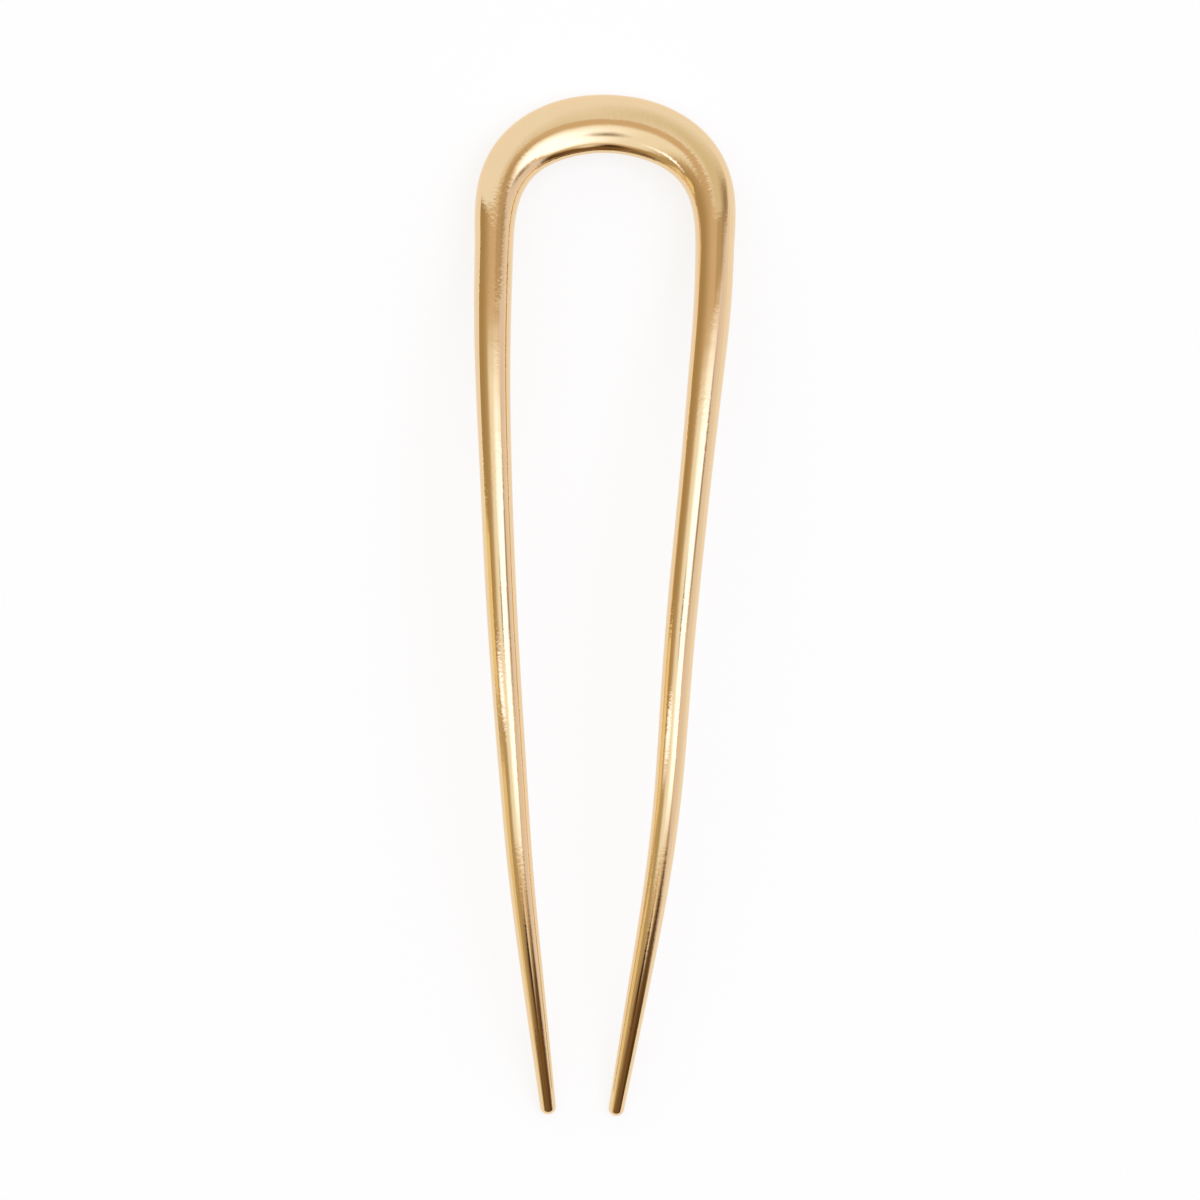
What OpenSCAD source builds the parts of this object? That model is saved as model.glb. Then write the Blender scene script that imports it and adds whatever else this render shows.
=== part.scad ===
// A U-shaped hairpin lying on a table: a thick crown and two prongs that taper to round tips.
// +Y points to the crown, +Z is up, and the origin is under the middle of the pin, on the table.

/* [Overall] */
// Distance between the centre lines of the two prongs where they leave the crown, at its base
prong_spacing = 28; // [22:0.5:34]
// Length of each prong seen from above, from the crown's base to the centre of its round tip
prong_length = 110; // [80:1:130]
// How far the crown's centre line goes past its base, seen from above
crown_rise = 15.2; // [12:0.1:20]
// Height that the middle of the pin arches up when it lies on a table, to follow the head
bow = 14.8; // [0:0.1:18]
// How much steeper the arch is at the tips, as a share of its slope: at the crown it is as much flatter
bow_skew = 0.2; // [0:0.05:0.4]

/* [Section] */
// Width of the crown at its middle, across its flatter faces
crown_w = 7.85; // [5.5:0.05:9]
// Depth of the crown at its middle
crown_depth = 4.1; // [3.6:0.1:6]
// Width of each prong where it leaves the crown
neck_w = 4.95; // [4.3:0.05:5.4]
// Width of each prong half way down
shank_w = 4.15; // [3:0.05:4.9]
// Width of each prong's round tip
tip_w = 2; // [1.4:0.1:2.8]
// Depth of a prong as a share of its width
flat_share = 0.98; // [0.75:0.01:1]

/* [Swell] */
// Length at the middle of the crown that keeps the full width, to each side
crown_flat = 3; // [0:0.5:5]
// Length over which the crown narrows to the neck
crown_fade = 22.5; // [18:0.5:26]
// Distance along the pin from the middle of the crown to where the neck starts to narrow
neck_start = 22; // [18:0.5:30]
// Length over which the neck narrows to the shank
neck_fade = 36; // [20:0.5:50]

/* [Flex] */
// Straight stretch of crown between its base and the rounded top of a prong
neck_reach = 2; // [1:0.1:4]
// Width that the rounded top of a prong has beyond the neck on each side
knuckle_land = 0.35; // [0.2:0.05:0.6]
// Gap between the rounded top of a prong and its seat in the crown
flex_clearance = 0.1; // [0.05:0.01:0.2]

/* [Hidden] */
gold = [0.85, 0.69, 0.44];

// Sides of a section, rings along half the crown, a neck, a prong and a round tip
section_sides = 20;
crown_rings = 20;
neck_rings = 5;
prong_rings = 42;
tip_rings = 4;
round_sides = 96;
// How far a cutting or starting shape runs past what it cuts
overrun = 1;

// Bends of each prong towards the other: where each starts and how long it is, as shares of the
// prong's length, and how much it adds to the slope. The right prong is bent back a little midway.
left_bend_shares = [[0, 0.245, 0.063], [0.26, 0.33, 0.0355], [0.64, 0.185, 0.0445]];
right_bend_shares = [[0, 0.13, 0.077], [0.33, 0.29, -0.046], [0.51, 0.33, 0.123]];
// Exponent of the crown's curve along the pin: across the pin it is 2
crown_exponent = 3;
// Exponent of the taper: the larger it is, the later the prong thins out
taper_exponent = 3.4;

function ease(share) = let (t = min(max(share, 0), 1)) t * t * (3 - 2 * t);
function eased_area(t) = t <= 0 ? 0 : t >= 1 ? t - 1 / 2 : pow(t, 3) - pow(t, 4) / 2;
function fade(distance, start, length) = 1 - ease((distance - start) / length);
function sum(values, last) = last < 0 ? 0 : values[last] + sum(values, last - 1);

// The crown's centre line, seen from above: share is 0 at its middle and 1 at the base of a prong
function crown_plan(share) =
    let (turn = 90 * (1 - pow(1 - share, crown_exponent / 2)))
    [prong_spacing / 2 * sin(turn), crown_rise * pow(max(cos(turn), 0), 2 / crown_exponent)];

// Distance along the crown's centre line from its middle
crown_steps = [for (i = [0 : crown_rings - 1])
    norm(crown_plan((i + 1) / crown_rings) - crown_plan(i / crown_rings))];
crown_arc = sum(crown_steps, crown_rings - 1);

// How far a prong has come in from its top at a distance below the crown's base
function drawn_in(distance, bends) = prong_length * sum([for (bend = bends)
    bend[2] * bend[1] * eased_area((distance / prong_length - bend[0]) / bend[1])], len(bends) - 1);
function prong_plan(distance, bends) = [prong_spacing / 2 - drawn_in(distance, bends), -distance];

// Width of a prong, and both sizes of the section, at a distance from the middle of the crown
tip_distance = crown_arc + prong_length;
function prong_w(distance) =
    tip_w + (shank_w - tip_w) * (1 - pow(min(distance / tip_distance, 1), taper_exponent))
    + (neck_w - shank_w) * fade(distance, neck_start, neck_fade);
function section(distance) =
    let (swell = fade(distance, crown_flat, crown_fade), w = prong_w(distance))
    [w + (crown_w - neck_w) * swell, w * flat_share + (crown_depth - neck_w * flat_share) * swell];

// The pin is bowed along Y: it stands on the middle of the crown and on both tips.
// A seat is the height of the centre line there, and a reach is how far the metal goes past it.
span = prong_length + crown_rise;
arch_slope = 4 * bow / span;
tip_depth = tip_w * flat_share;
end_rise = (crown_depth - tip_depth) / 2;
crown_tilt = atan(arch_slope * (1 - bow_skew) - end_rise / span);
tip_tilt = atan(arch_slope * (1 + bow_skew) + end_rise / span);
crown_seat = norm([crown_w * sin(crown_tilt), crown_depth * cos(crown_tilt)]) / 2;
crown_reach = norm([crown_w * cos(crown_tilt), crown_depth * sin(crown_tilt)]) / 2;
tip_seat = norm([tip_w * sin(tip_tilt), tip_depth * cos(tip_tilt)]) / 2;
tip_reach = norm([tip_w * cos(tip_tilt), tip_depth * sin(tip_tilt)]) / 2;
base_y = (prong_length + tip_reach - crown_rise - crown_reach) / 2;
tip_y = base_y - prong_length;
function bow_height(y) =
    let (share = (y - tip_y) / span, arch = share * (1 - share))
    tip_seat + (crown_seat - tip_seat) * share
    + arch_slope * span * arch * (1 + bow_skew * (1 - 2 * share));
function bow_slope(y) =
    let (share = (y - tip_y) / span, arch = share * (1 - share))
    (crown_seat - tip_seat) / span + arch_slope * (1 - 2 * share + bow_skew * (1 - 6 * arch));
function lifted(plan) = [plan.x, base_y + plan.y, bow_height(base_y + plan.y)];
function bow_normal(y) = let (n = [0, -bow_slope(y), 1]) n / norm(n);

// The rounded top of each prong turns about an upright axis in the crown's neck
knuckle_r = prong_w(crown_arc) / 2 + knuckle_land;
flex_drop = neck_reach + knuckle_r;
cutter_h = 4 * (bow + crown_depth);

// One ring of points: the section at a place on the centre line, square to it
function ring(place, along, size) =
    let (up = bow_normal(place.y), flat = cross(up, along), side = flat / norm(flat))
    [for (i = [0 : section_sides - 1])
        let (turn = 360 * i / section_sides)
        place + side * size.x / 2 * cos(turn) + up * size.y / 2 * sin(turn)];

// Rings along a list of [place, distance from the middle of the crown]
function rings(line) = [for (i = [0 : len(line) - 1])
    let (before = line[max(i - 1, 0)][0], after = line[min(i + 1, len(line) - 1)][0])
    ring(line[i][0], after - before, section(line[i][1]))];

// A closed solid through rings of points, with a flat face at each end
module skin(loops) {
    n = section_sides;
    last = len(loops) - 1;
    walls = [for (i = [0 : last - 1], j = [0 : n - 1])
        let (k = (j + 1) % n)
        each [[i * n + j, i * n + k, (i + 1) * n + k], [i * n + j, (i + 1) * n + k, (i + 1) * n + j]]];
    first_end = [for (j = [n - 1 : -1 : 0]) j];
    last_end = [for (j = [0 : n - 1]) last * n + j];
    polyhedron(points = [for (loop = loops) each loop], faces = concat([first_end, last_end], walls));
}

function mirrored(plan, side) = [side * plan.x, plan.y];

// Half of the crown's line, from its middle to the level of the flex axis
function half_crown(side, bends) = concat(
    [for (i = [1 : crown_rings])
        [lifted(mirrored(crown_plan(i / crown_rings), side)), sum(crown_steps, i - 1)]],
    [for (i = [1 : neck_rings])
        let (down = flex_drop * i / neck_rings)
        [lifted(mirrored(prong_plan(down, bends), side)), crown_arc + down]]);

function reversed(list) = [for (i = [len(list) - 1 : -1 : 0]) list[i]];

// A prong's line, from inside the crown's neck to the centre of its round tip
function prong_line(side, bends) =
    let (start = neck_reach - overrun)
    [for (i = [0 : prong_rings])
        let (down = start + (prong_length - start) * i / prong_rings)
        [lifted(mirrored(prong_plan(down, bends), side)), crown_arc + down]];

// The round end of a prong: rings that shrink along the last direction of its line
function tip(line) =
    let (end = line[len(line) - 1][0], way = end - line[len(line) - 2][0], along = way / norm(way))
    [for (i = [1 : tip_rings])
        let (turn = 90 * i / (tip_rings + 1 / 2))
        ring(end + along * tip_w / 2 * sin(turn), along, [tip_w, tip_depth] * cos(turn))];

module at_flex_axis(side, bends) {
    place = mirrored(prong_plan(flex_drop, bends), side);
    translate([place.x, base_y + place.y, 0]) children();
}

module crown() {
    color(gold) difference() {
        skin(rings(concat(reversed(half_crown(-1, left_bend_shares)),
            [[lifted([0, crown_rise]), 0]], half_crown(1, right_bend_shares))));
        at_flex_axis(-1, left_bend_shares) knuckle_seat();
        at_flex_axis(1, right_bend_shares) knuckle_seat();
    }
}

module knuckle_seat() {
    cylinder(r = knuckle_r + flex_clearance, h = cutter_h, center = true, $fn = round_sides);
}

module prong(side, bends) {
    line = prong_line(side, bends);
    difference() {
        skin(concat(rings(line), tip(line)));
        at_flex_axis(side, bends) knuckle_surround();
    }
}

// What is cut from the top of a prong, so that only a round knuckle stands above the flex axis
module knuckle_surround() {
    difference() {
        translate([-2 * knuckle_r, 0, -cutter_h / 2]) cube([4 * knuckle_r, 2 * knuckle_r, cutter_h]);
        cylinder(r = knuckle_r, h = 2 * cutter_h, center = true, $fn = round_sides);
    }
}

module left_prong() {
    color(gold) prong(-1, left_bend_shares);
}

module right_prong() {
    color(gold) prong(1, right_bend_shares);
}

crown();
left_prong();
right_prong();
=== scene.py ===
"""A polished gold-coloured U-shaped hairpin lying on a white table, lit as in a small product studio."""
import math

import bpy
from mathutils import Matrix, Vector


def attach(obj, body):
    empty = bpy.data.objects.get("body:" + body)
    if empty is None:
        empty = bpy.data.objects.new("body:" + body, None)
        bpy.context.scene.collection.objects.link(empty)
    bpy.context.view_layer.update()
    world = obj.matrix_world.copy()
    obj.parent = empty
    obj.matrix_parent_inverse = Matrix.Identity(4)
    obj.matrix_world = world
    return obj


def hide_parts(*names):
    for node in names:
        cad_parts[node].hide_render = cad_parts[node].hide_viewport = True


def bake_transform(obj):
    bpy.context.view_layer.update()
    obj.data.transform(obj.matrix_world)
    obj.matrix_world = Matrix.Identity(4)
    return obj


MM = 0.001

# The pin's sizes, as the frame has them
PRONG_SPACING = 28 * MM
PRONG_LENGTH = 110 * MM
CROWN_RISE = 15.2 * MM
BOW = 14.8 * MM
BOW_SKEW = 0.2
CROWN_W = 7.85 * MM
CROWN_DEPTH = 4.1 * MM
NECK_W = 4.95 * MM
SHANK_W = 4.15 * MM
TIP_W = 2 * MM
FLAT_SHARE = 0.98
CROWN_FLAT = 3 * MM
CROWN_FADE = 22.5 * MM
NECK_START = 22 * MM
NECK_FADE = 36 * MM
CROWN_EXPONENT = 3
TAPER_EXPONENT = 3.4

# Bends of each prong towards the other: start, length and added slope, as shares of its length
LEFT_BEND_SHARES = ((0, 0.245, 0.063), (0.26, 0.33, 0.0355), (0.64, 0.185, 0.0445))
RIGHT_BEND_SHARES = ((0, 0.13, 0.077), (0.33, 0.29, -0.046), (0.51, 0.33, 0.123))
# Side of the pin, as the sign of X
LEFT = -1
RIGHT = 1

# Mesh: sides of a section, rings along half the crown and a round tip, and spacing of rings down a prong
SECTION_SIDES = 72
CROWN_RINGS = 90
TIP_RINGS = 12
RING_STEP = 0.5 * MM
# The crown's skin meets a prong's skin here, below the crown's base
SEAM_DROP = 1.8 * MM

# The photograph: how much of the table it shows, where its centre is and how the pin leans in it
FRAME_WIDTH = 152.84 * MM
FRAME_CENTRE = (0.594 * MM, 0.64 * MM)
LEAN = math.radians(1.47)
CAMERA_HEIGHT = 2.0
CAMERA_CLIP = (0.01, 50)
SENSOR_WIDTH = 36.0

# Gold plate: its lighter and deeper tone, and how rough it is where it is most and least polished
GOLD_LIGHT = (0.865, 0.645, 0.385)
GOLD_DEEP = (0.84, 0.615, 0.355)
GOLD_SMOOTH = 0.03
GOLD_ROUGH = 0.08
# Its textures: how fine each noise is, in cells per metre, and how high the bumps stand
TONE_SCALE = 220
GLOSS_SCALE = 900
PEEL_SCALE = 2200
PEEL_HEIGHT = 0.017 * MM
PEEL_PATCH_SCALE = 130
WAVE_SCALE = 320
WAVE_HEIGHT = 0.015 * MM
# Share of the orange peel's height that is left between its patches
PEEL_BETWEEN = 0.12

# The pin lies on a square white board: its grey takes the pin's shadow, and its glow makes it white
TABLE_WIDTH = 0.3
TABLE_GREY = 0.3
TABLE_GLOW = 0.75

# The studio's places are in degrees from straight up, and none lies as far away as this
FAR = 200
# Least sine of a direction's tilt that is divided by, so that straight up has a place too
LEAST_SINE = 0.0001
# How far the edge of the softbox's bright part moves to the right for each degree to the back
BRIGHT_SLANT = 0.27


def ease(t):
    t = min(max(t, 0), 1)
    return t * t * (3 - 2 * t)


def eased_area(t):
    """Area under ease from 0 to t."""
    if t <= 0:
        return 0
    if t >= 1:
        return t - 1 / 2
    return t ** 3 - t ** 4 / 2


def fade(distance, start, length):
    return 1 - ease((distance - start) / length)


def crown_plan(share):
    """The crown's centre line seen from above: share is 0 at its middle and 1 at its base."""
    turn = math.pi / 2 * (1 - (1 - share) ** (CROWN_EXPONENT / 2))
    across = PRONG_SPACING / 2 * math.sin(turn)
    return across, CROWN_RISE * max(math.cos(turn), 0) ** (2 / CROWN_EXPONENT)


def prong_plan(distance, bends):
    """A prong's centre line seen from above, at a distance below the crown's base."""
    drawn_in = sum(
        slope * length * eased_area((distance / PRONG_LENGTH - start) / length)
        for start, length, slope in bends
    )
    return PRONG_SPACING / 2 - PRONG_LENGTH * drawn_in, -distance


def crown_points(rings):
    """Half of the crown's line as (across, up, distance from its middle)."""
    points = []
    distance = 0
    before = crown_plan(0)
    for i in range(rings + 1):
        place = crown_plan(i / rings)
        distance += math.hypot(place[0] - before[0], place[1] - before[1])
        points.append((*place, distance))
        before = place
    return points


CROWN_ARC = crown_points(CROWN_RINGS)[-1][2]
TIP_DISTANCE = CROWN_ARC + PRONG_LENGTH


def section(distance):
    """Width and depth of the pin at a distance along it from the middle of the crown."""
    taper = 1 - min(distance / TIP_DISTANCE, 1) ** TAPER_EXPONENT
    width = TIP_W + (SHANK_W - TIP_W) * taper
    width += (NECK_W - SHANK_W) * fade(distance, NECK_START, NECK_FADE)
    swell = fade(distance, CROWN_FLAT, CROWN_FADE)
    depth = width * FLAT_SHARE
    return width + (CROWN_W - NECK_W) * swell, depth + (CROWN_DEPTH - NECK_W * FLAT_SHARE) * swell


# The pin stands on the middle of the crown and on both tips, and arches up between them
SPAN = PRONG_LENGTH + CROWN_RISE
ARCH_SLOPE = 4 * BOW / SPAN
TIP_DEPTH = TIP_W * FLAT_SHARE
END_RISE = (CROWN_DEPTH - TIP_DEPTH) / 2
CROWN_TILT = math.atan(ARCH_SLOPE * (1 - BOW_SKEW) - END_RISE / SPAN)
TIP_TILT = math.atan(ARCH_SLOPE * (1 + BOW_SKEW) + END_RISE / SPAN)
CROWN_SEAT = math.hypot(CROWN_W * math.sin(CROWN_TILT), CROWN_DEPTH * math.cos(CROWN_TILT)) / 2
CROWN_REACH = math.hypot(CROWN_W * math.cos(CROWN_TILT), CROWN_DEPTH * math.sin(CROWN_TILT)) / 2
TIP_SEAT = math.hypot(TIP_W * math.sin(TIP_TILT), TIP_DEPTH * math.cos(TIP_TILT)) / 2
TIP_REACH = math.hypot(TIP_W * math.cos(TIP_TILT), TIP_DEPTH * math.sin(TIP_TILT)) / 2
BASE_Y = (PRONG_LENGTH + TIP_REACH - CROWN_RISE - CROWN_REACH) / 2
TIP_Y = BASE_Y - PRONG_LENGTH


def bow_height(y):
    """Height of the centre line above the table."""
    share = (y - TIP_Y) / SPAN
    arch = share * (1 - share) * (1 + BOW_SKEW * (1 - 2 * share))
    return TIP_SEAT + (CROWN_SEAT - TIP_SEAT) * share + ARCH_SLOPE * SPAN * arch


def bow_slope(y):
    """Slope of the centre line along Y."""
    share = (y - TIP_Y) / SPAN
    lean = 1 - 2 * share + BOW_SKEW * (1 - 6 * share * (1 - share))
    return (CROWN_SEAT - TIP_SEAT) / SPAN + ARCH_SLOPE * lean


def lifted(across, up):
    """A place on the centre line seen from above, raised onto the bow."""
    y = BASE_Y + up
    return Vector((across, y, bow_height(y)))


def ring(place, along, size):
    """Points of one section, square to the line, starting at its underside."""
    up = Vector((0, -bow_slope(place.y), 1)).normalized()
    side = up.cross(along).normalized()
    points = []
    for i in range(SECTION_SIDES):
        turn = 2 * math.pi * i / SECTION_SIDES - math.pi / 2
        points.append(place + side * size[0] / 2 * math.cos(turn) + up * size[1] / 2 * math.sin(turn))
    return points


def sweep(line):
    """Rings along a list of (place, distance from the middle of the crown)."""
    loops = []
    for i, (place, distance) in enumerate(line):
        along = line[min(i + 1, len(line) - 1)][0] - line[max(i - 1, 0)][0]
        loops.append(ring(place, along, section(distance)))
    return loops


def skin(name, loops, closed_end):
    """A smooth skin through rings of points, with a cap on the last one if its end is closed."""
    sides = SECTION_SIDES
    points = [point for loop in loops for point in loop]
    faces = []
    for i in range(len(loops) - 1):
        for j in range(sides):
            k = (j + 1) % sides
            faces.append((i * sides + j, i * sides + k, (i + 1) * sides + k, (i + 1) * sides + j))
    if closed_end:
        last = (len(loops) - 1) * sides
        pole = len(points)
        points.append(sum(loops[-1], Vector()) / sides)
        for j in range(sides):
            faces.append((last + j, last + (j + 1) % sides, pole))
    mesh = bpy.data.meshes.new(name)
    mesh.from_pydata(points, [], faces)
    mesh.update()
    for face in mesh.polygons:
        face.use_smooth = True
    return place_in_scene(name, mesh)


def place_in_scene(name, data):
    holder = bpy.data.objects.new(name, data)
    bpy.context.scene.collection.objects.link(holder)
    return holder


def prong_point(side, bends, down):
    """A place on a prong's line below the crown's base, and its distance from the middle of the crown."""
    across, up = prong_plan(down, bends)
    return lifted(side * across, up), CROWN_ARC + down


def half_crown(side, bends):
    """From the middle of the crown to the seam, and one step past it that gives the seam its direction."""
    arch = [(lifted(side * across, up), distance) for across, up, distance in crown_points(CROWN_RINGS)]
    steps = max(round(SEAM_DROP / RING_STEP), 1)
    return arch + [prong_point(side, bends, SEAM_DROP * i / steps) for i in range(1, steps + 2)]


def make_crown():
    left = half_crown(LEFT, LEFT_BEND_SHARES)
    right = half_crown(RIGHT, RIGHT_BEND_SHARES)
    line = left[::-1] + right[1:]
    return skin("gold_crown", sweep(line)[1:-1], closed_end=False)


def make_prong(name, side, bends):
    steps = round((PRONG_LENGTH - SEAM_DROP) / RING_STEP)
    step = (PRONG_LENGTH - SEAM_DROP) / steps
    line = [prong_point(side, bends, SEAM_DROP + step * i) for i in range(-1, steps + 1)]
    loops = sweep(line)[1:]
    end = line[-1][0]
    along = (end - line[-2][0]).normalized()
    for i in range(1, TIP_RINGS + 1):
        turn = math.pi / 2 * i / (TIP_RINGS + 1 / 2)
        place = end + along * TIP_W / 2 * math.sin(turn)
        loops.append(ring(place, along, (TIP_W * math.cos(turn), TIP_DEPTH * math.cos(turn))))
    return skin(name, loops, closed_end=True)


class Nodes:
    """Short calls for building a node tree."""

    def __init__(self, tree):
        self.tree = tree

    def add(self, kind, **values):
        node = self.tree.nodes.new(kind)
        for key, value in values.items():
            setattr(node, key, value)
        return node

    def feed(self, socket, value):
        """Links a socket to another one, or sets it to a constant."""
        if isinstance(value, bpy.types.NodeSocket):
            self.tree.links.new(value, socket)
        else:
            socket.default_value = value

    def math(self, operation, *values):
        node = self.add("ShaderNodeMath", operation=operation)
        for socket, value in zip(node.inputs, values):
            self.feed(socket, value)
        return node.outputs[0]

    def ramp(self, value, start, end, low=0.0, high=1.0):
        """Eases from low to high while value goes from start to end."""
        node = self.add("ShaderNodeMapRange", interpolation_type="SMOOTHSTEP")
        node.inputs["From Min"].default_value = start
        node.inputs["From Max"].default_value = end
        node.inputs["To Min"].default_value = low
        node.inputs["To Max"].default_value = high
        self.feed(node.inputs["Value"], value)
        return node.outputs["Result"]

    def mix(self, factor, first, second):
        """Mixes two colours: inputs 0, 6 and 7 and output 2 are the ones for colours."""
        node = self.add("ShaderNodeMix", data_type="RGBA")
        self.feed(node.inputs[0], factor)
        self.feed(node.inputs[6], first)
        self.feed(node.inputs[7], second)
        return node.outputs[2]


def colour(red, green, blue):
    return (red, green, blue, 1.0)


def gold_material():
    """Polished plate with mottled tone and gloss, patches of orange peel and long soft waves."""
    material = bpy.data.materials.new("polished_gold_plate")
    material.use_nodes = True
    tree = material.node_tree
    n = Nodes(tree)
    shader = tree.nodes["Principled BSDF"]
    shader.inputs["Metallic"].default_value = 1.0
    place = n.add("ShaderNodeTexCoord").outputs["Object"]

    def noise(scale, detail):
        node = n.add("ShaderNodeTexNoise")
        n.feed(node.inputs["Vector"], place)
        node.inputs["Scale"].default_value = scale
        node.inputs["Detail"].default_value = detail
        return node.outputs["Fac"]

    def bump(height, distance):
        node = n.add("ShaderNodeBump")
        node.inputs["Strength"].default_value = 1.0
        node.inputs["Distance"].default_value = distance
        n.feed(node.inputs["Height"], height)
        return node

    tone = n.mix(noise(TONE_SCALE, detail=3), colour(*GOLD_LIGHT), colour(*GOLD_DEEP))
    gloss = n.ramp(noise(GLOSS_SCALE, detail=4), start=0.3, end=0.75, low=GOLD_SMOOTH, high=GOLD_ROUGH)
    patches = n.ramp(noise(PEEL_PATCH_SCALE, detail=1), start=0.42, end=0.60, low=PEEL_BETWEEN, high=1.0)
    peel = bump(n.math("MULTIPLY", noise(PEEL_SCALE, detail=2), patches), PEEL_HEIGHT)
    waves = bump(noise(WAVE_SCALE, detail=1), WAVE_HEIGHT)
    n.feed(waves.inputs["Normal"], peel.outputs["Normal"])
    n.feed(shader.inputs["Base Color"], tone)
    n.feed(shader.inputs["Roughness"], gloss)
    n.feed(shader.inputs["Normal"], waves.outputs["Normal"])
    return material


def table_material():
    """A grey that takes the pin's shadow, with a glow that only the camera and the metal see."""
    material = bpy.data.materials.new("white_table")
    material.use_nodes = True
    tree = material.node_tree
    tree.nodes.clear()
    n = Nodes(tree)
    surface = n.add("ShaderNodeBsdfDiffuse")
    surface.inputs["Color"].default_value = colour(TABLE_GREY, TABLE_GREY, TABLE_GREY)
    rays = n.add("ShaderNodeLightPath")
    seen = n.math("ADD", rays.outputs["Is Camera Ray"], rays.outputs["Is Glossy Ray"])
    seen = n.math("ADD", seen, rays.outputs["Is Transmission Ray"])
    glow = n.add("ShaderNodeEmission")
    n.feed(glow.inputs["Strength"], n.math("MULTIPLY", n.math("MINIMUM", seen, 1.0), TABLE_GLOW))
    both = n.add("ShaderNodeAddShader")
    n.feed(both.inputs[0], surface.outputs["BSDF"])
    n.feed(both.inputs[1], glow.outputs["Emission"])
    n.feed(n.add("ShaderNodeOutputMaterial").inputs["Surface"], both.outputs["Shader"])
    return material


def make_floor():
    reach = TABLE_WIDTH / 2
    corners = [(-reach, -reach, 0), (reach, -reach, 0), (reach, reach, 0), (-reach, reach, 0)]
    mesh = bpy.data.meshes.new("table")
    mesh.from_pydata(corners, [], [(0, 1, 2, 3)])
    mesh.materials.append(table_material())
    place_in_scene("table", mesh)


def studio_places(n):
    """How far a direction is to the right, to the back and in all from straight up, in degrees."""
    turned = n.add("ShaderNodeVectorRotate", rotation_type="Z_AXIS")
    turned.inputs["Angle"].default_value = -LEAN
    n.feed(turned.inputs["Vector"], n.add("ShaderNodeTexCoord").outputs["Generated"])
    split = n.add("ShaderNodeSeparateXYZ")
    n.feed(split.inputs["Vector"], turned.outputs["Vector"])
    x, y, z = split.outputs
    tilt = n.math("DEGREES", n.math("ARCCOSINE", z))
    sine = n.math("SQRT", n.math("ADD", n.math("MULTIPLY", x, x), n.math("MULTIPLY", y, y)))
    scale = n.math("DIVIDE", tilt, n.math("MAXIMUM", sine, LEAST_SINE))
    return n.math("MULTIPLY", x, scale), n.math("MULTIPLY", y, scale), tilt


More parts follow.
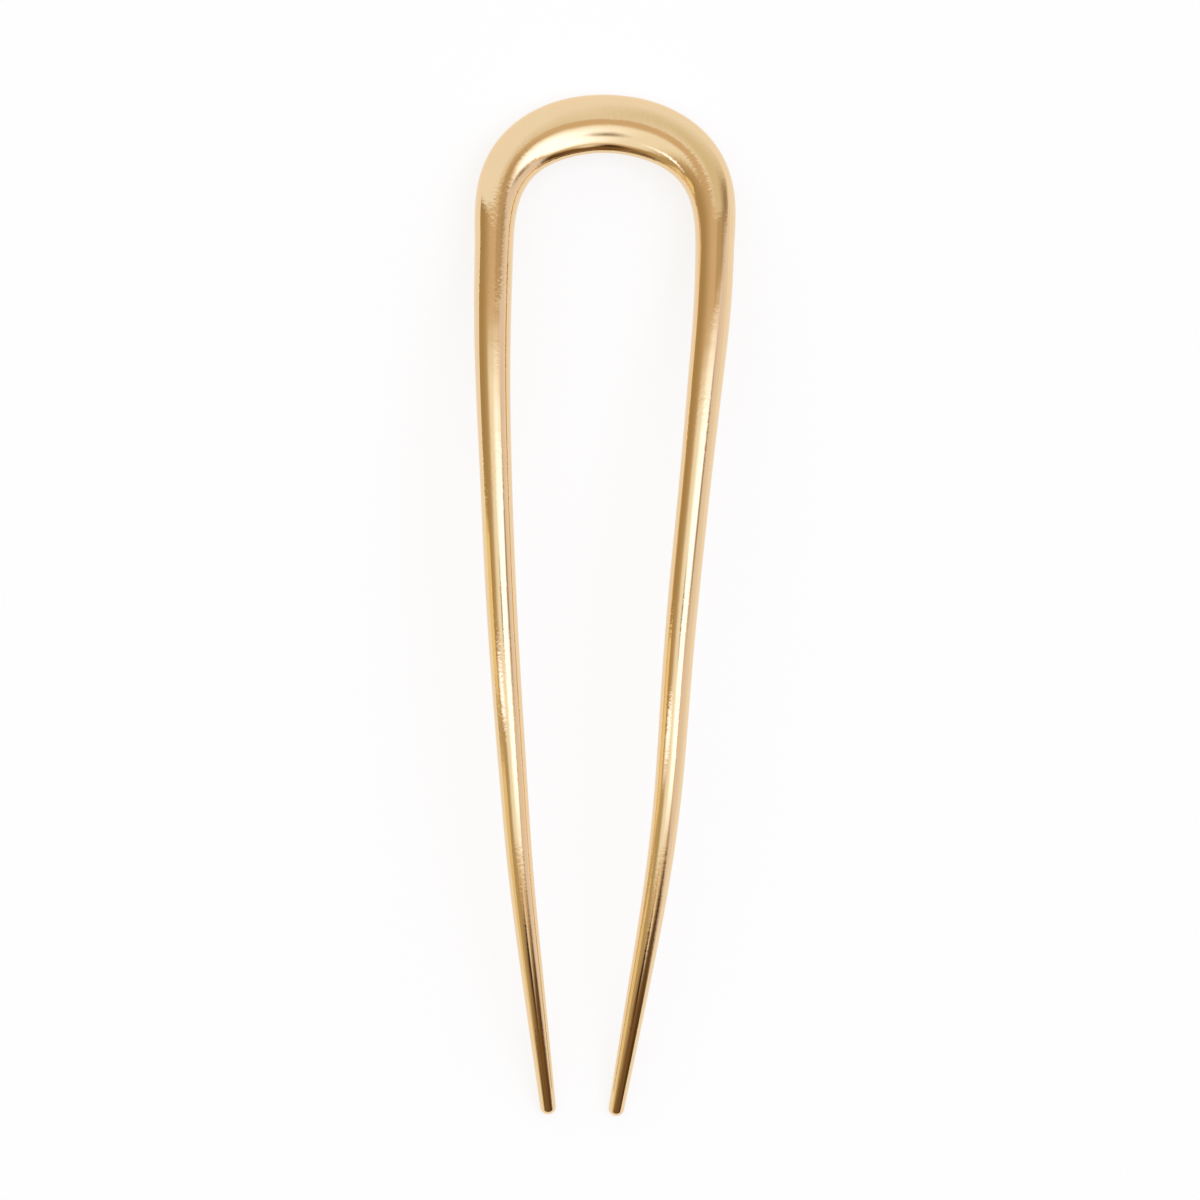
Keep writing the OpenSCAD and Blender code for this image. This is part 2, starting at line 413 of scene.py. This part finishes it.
def studio_view(n):
    """The room around the table, as light by direction. What is laid later covers what is there."""
    right, back, tilt = studio_places(n)
    view = colour(0.45, 0.34, 0.18)

    def lay(share, light):
        nonlocal view
        view = n.mix(share, view, colour(*light))

    def patch(low, high, soft):
        """Share of a soft-edged card between two (right, back) corners."""
        share = 1.0
        for value, first, last, blur in zip((right, back), low, high, soft):
            share = n.math("MULTIPLY", share, n.ramp(value, first - blur, first + blur))
            share = n.math("MULTIPLY", share, n.ramp(value, last + blur, last - blur))
        return share

    def card(low, high, soft, light):
        lay(patch(low, high, soft), light)

    def spot(centre, radii, light):
        """A soft round patch, full at its centre."""
        across, along = (
            n.math("DIVIDE", n.math("SUBTRACT", value, middle), radius)
            for value, middle, radius in zip((right, back), centre, radii)
        )
        distance = n.math("ADD", n.math("MULTIPLY", across, across), n.math("MULTIPLY", along, along))
        lay(n.ramp(n.math("SQRT", distance), start=1, end=0), light)

    # Left wall: warm, paler towards the middle, golden low down
    lay(n.ramp(right, start=-70, end=-5), light=(0.72, 0.58, 0.42))
    card(low=(-FAR, -FAR), high=(-66, 8), soft=(5, 2), light=(0.95, 0.83, 0.48))
    card(low=(-FAR, -FAR), high=(-53, -14), soft=(5, 8), light=(0.88, 0.77, 0.48))
    card(low=(-58, -FAR), high=(-22, -15), soft=(6, 6), light=(0.52, 0.42, 0.25))
    # Right wall, pinkish, browner at its foot
    card(low=(44, -60), high=(FAR, 34), soft=(4, 6), light=(0.86, 0.81, 0.87))
    card(low=(88, 14), high=(FAR, 29), soft=(4, 6), light=(0.56, 0.45, 0.30))
    card(low=(12, 29), high=(52, 40), soft=(6, 3), light=(0.56, 0.45, 0.30))
    # White card behind, dimmer at the right, with a brown thing before it
    behind = n.ramp(back, start=38, end=42)
    lay(behind, light=(0.98, 1.0, 1.03))
    dim = n.math("MULTIPLY", n.ramp(right, start=-10, end=12), n.ramp(back, start=86, end=48))
    lay(n.math("MULTIPLY", dim, behind), light=(0.77, 0.73, 0.58))
    spot(centre=(56, 42), radii=(34, 17), light=(0.38, 0.30, 0.21))
    card(low=(72, -60), high=(FAR, 50), soft=(3, 8), light=(0.90, 0.88, 0.90))
    # Dark room in front
    card(low=(-26, -FAR), high=(54, -39), soft=(16, 7), light=(0.20, 0.115, 0.05))
    card(low=(30, -FAR), high=(80, -54), soft=(6, 5), light=(0.10, 0.06, 0.03))
    spot(centre=(-35, -64), radii=(24, 20), light=(0.12, 0.08, 0.04))
    spot(centre=(42, -40), radii=(22, 20), light=(0.10, 0.06, 0.02))
    spot(centre=(56, -54), radii=(30, 20), light=(0.10, 0.06, 0.02))
    # Softbox overhead, brighter at the right up to a slanting edge, and what stands before it
    card(low=(-29, -28), high=(33, 27), soft=(13, 4), light=(1.0, 1.04, 1.03))
    slanted = n.math("SUBTRACT", right, n.math("MULTIPLY", back, BRIGHT_SLANT))
    bright = patch(low=(3, -22), high=(FAR, 22), soft=(14, 8))
    lay(n.math("MULTIPLY", bright, n.ramp(slanted, start=46, end=33)), light=(1.7, 1.85, 2.4))
    spot(centre=(-3, -43), radii=(18, 12), light=(0.03, 0.02, 0.01))
    spot(centre=(11, -38), radii=(12, 15), light=(0.95, 0.92, 0.85))
    # Camera, and the dark edge of the softbox at its right
    spot(centre=(0, 4), radii=(9, 10), light=(0.40, 0.38, 0.34))
    spot(centre=(52, 8), radii=(10, 19), light=(0.36, 0.32, 0.26))
    # Bare lamp at the left, over a dark rail
    card(low=(-FAR, -18), high=(-52, -12), soft=(8, 3), light=(0.55, 0.45, 0.27))
    spot(centre=(-37, -8), radii=(28, 7), light=(1.8, 1.9, 2.5))
    # White below
    lay(n.ramp(tilt, start=97, end=107), light=(1.0, 1.0, 1.0))
    return view


def make_studio():
    """The world: plain white as the camera sees it, and the studio for all other light."""
    world = bpy.data.worlds.new("studio")
    bpy.context.scene.world = world
    world.use_nodes = True
    tree = world.node_tree
    tree.nodes.clear()
    n = Nodes(tree)
    room = n.add("ShaderNodeBackground")
    n.feed(room.inputs["Color"], studio_view(n))
    white = n.add("ShaderNodeBackground")
    white.inputs["Color"].default_value = colour(1, 1, 1)
    choose = n.add("ShaderNodeMixShader")
    n.feed(choose.inputs[0], n.add("ShaderNodeLightPath").outputs["Is Camera Ray"])
    n.feed(choose.inputs[1], room.outputs["Background"])
    n.feed(choose.inputs[2], white.outputs["Background"])
    n.feed(n.add("ShaderNodeOutputWorld").inputs["Surface"], choose.outputs["Shader"])


def make_camera():
    camera = bpy.data.cameras.new("camera")
    camera.sensor_width = SENSOR_WIDTH
    camera.lens = SENSOR_WIDTH * CAMERA_HEIGHT / FRAME_WIDTH
    camera.clip_start, camera.clip_end = CAMERA_CLIP
    holder = place_in_scene("camera", camera)
    holder.location = (*FRAME_CENTRE, CAMERA_HEIGHT)
    holder.rotation_euler = (0, 0, LEAN)
    bpy.context.scene.camera = holder


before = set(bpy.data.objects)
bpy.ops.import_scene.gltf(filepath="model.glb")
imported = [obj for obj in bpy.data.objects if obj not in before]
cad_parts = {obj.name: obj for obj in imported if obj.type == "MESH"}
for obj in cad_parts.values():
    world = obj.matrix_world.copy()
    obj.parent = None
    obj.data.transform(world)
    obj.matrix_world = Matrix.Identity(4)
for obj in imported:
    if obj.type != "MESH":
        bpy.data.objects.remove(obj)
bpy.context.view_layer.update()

make_camera()
make_floor()
make_studio()

gold = gold_material()
crown = make_crown()
left_prong = make_prong("gold_left_prong", LEFT, LEFT_BEND_SHARES)
right_prong = make_prong("gold_right_prong", RIGHT, RIGHT_BEND_SHARES)
for piece in (crown, left_prong, right_prong):
    piece.data.materials.append(gold)

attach(crown, "crown")
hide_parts("crown")
for piece, body in ((left_prong, "left_prong"), (right_prong, "right_prong")):
    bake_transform(piece)
    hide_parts(body)

bpy.context.scene.view_settings.view_transform = "Standard"
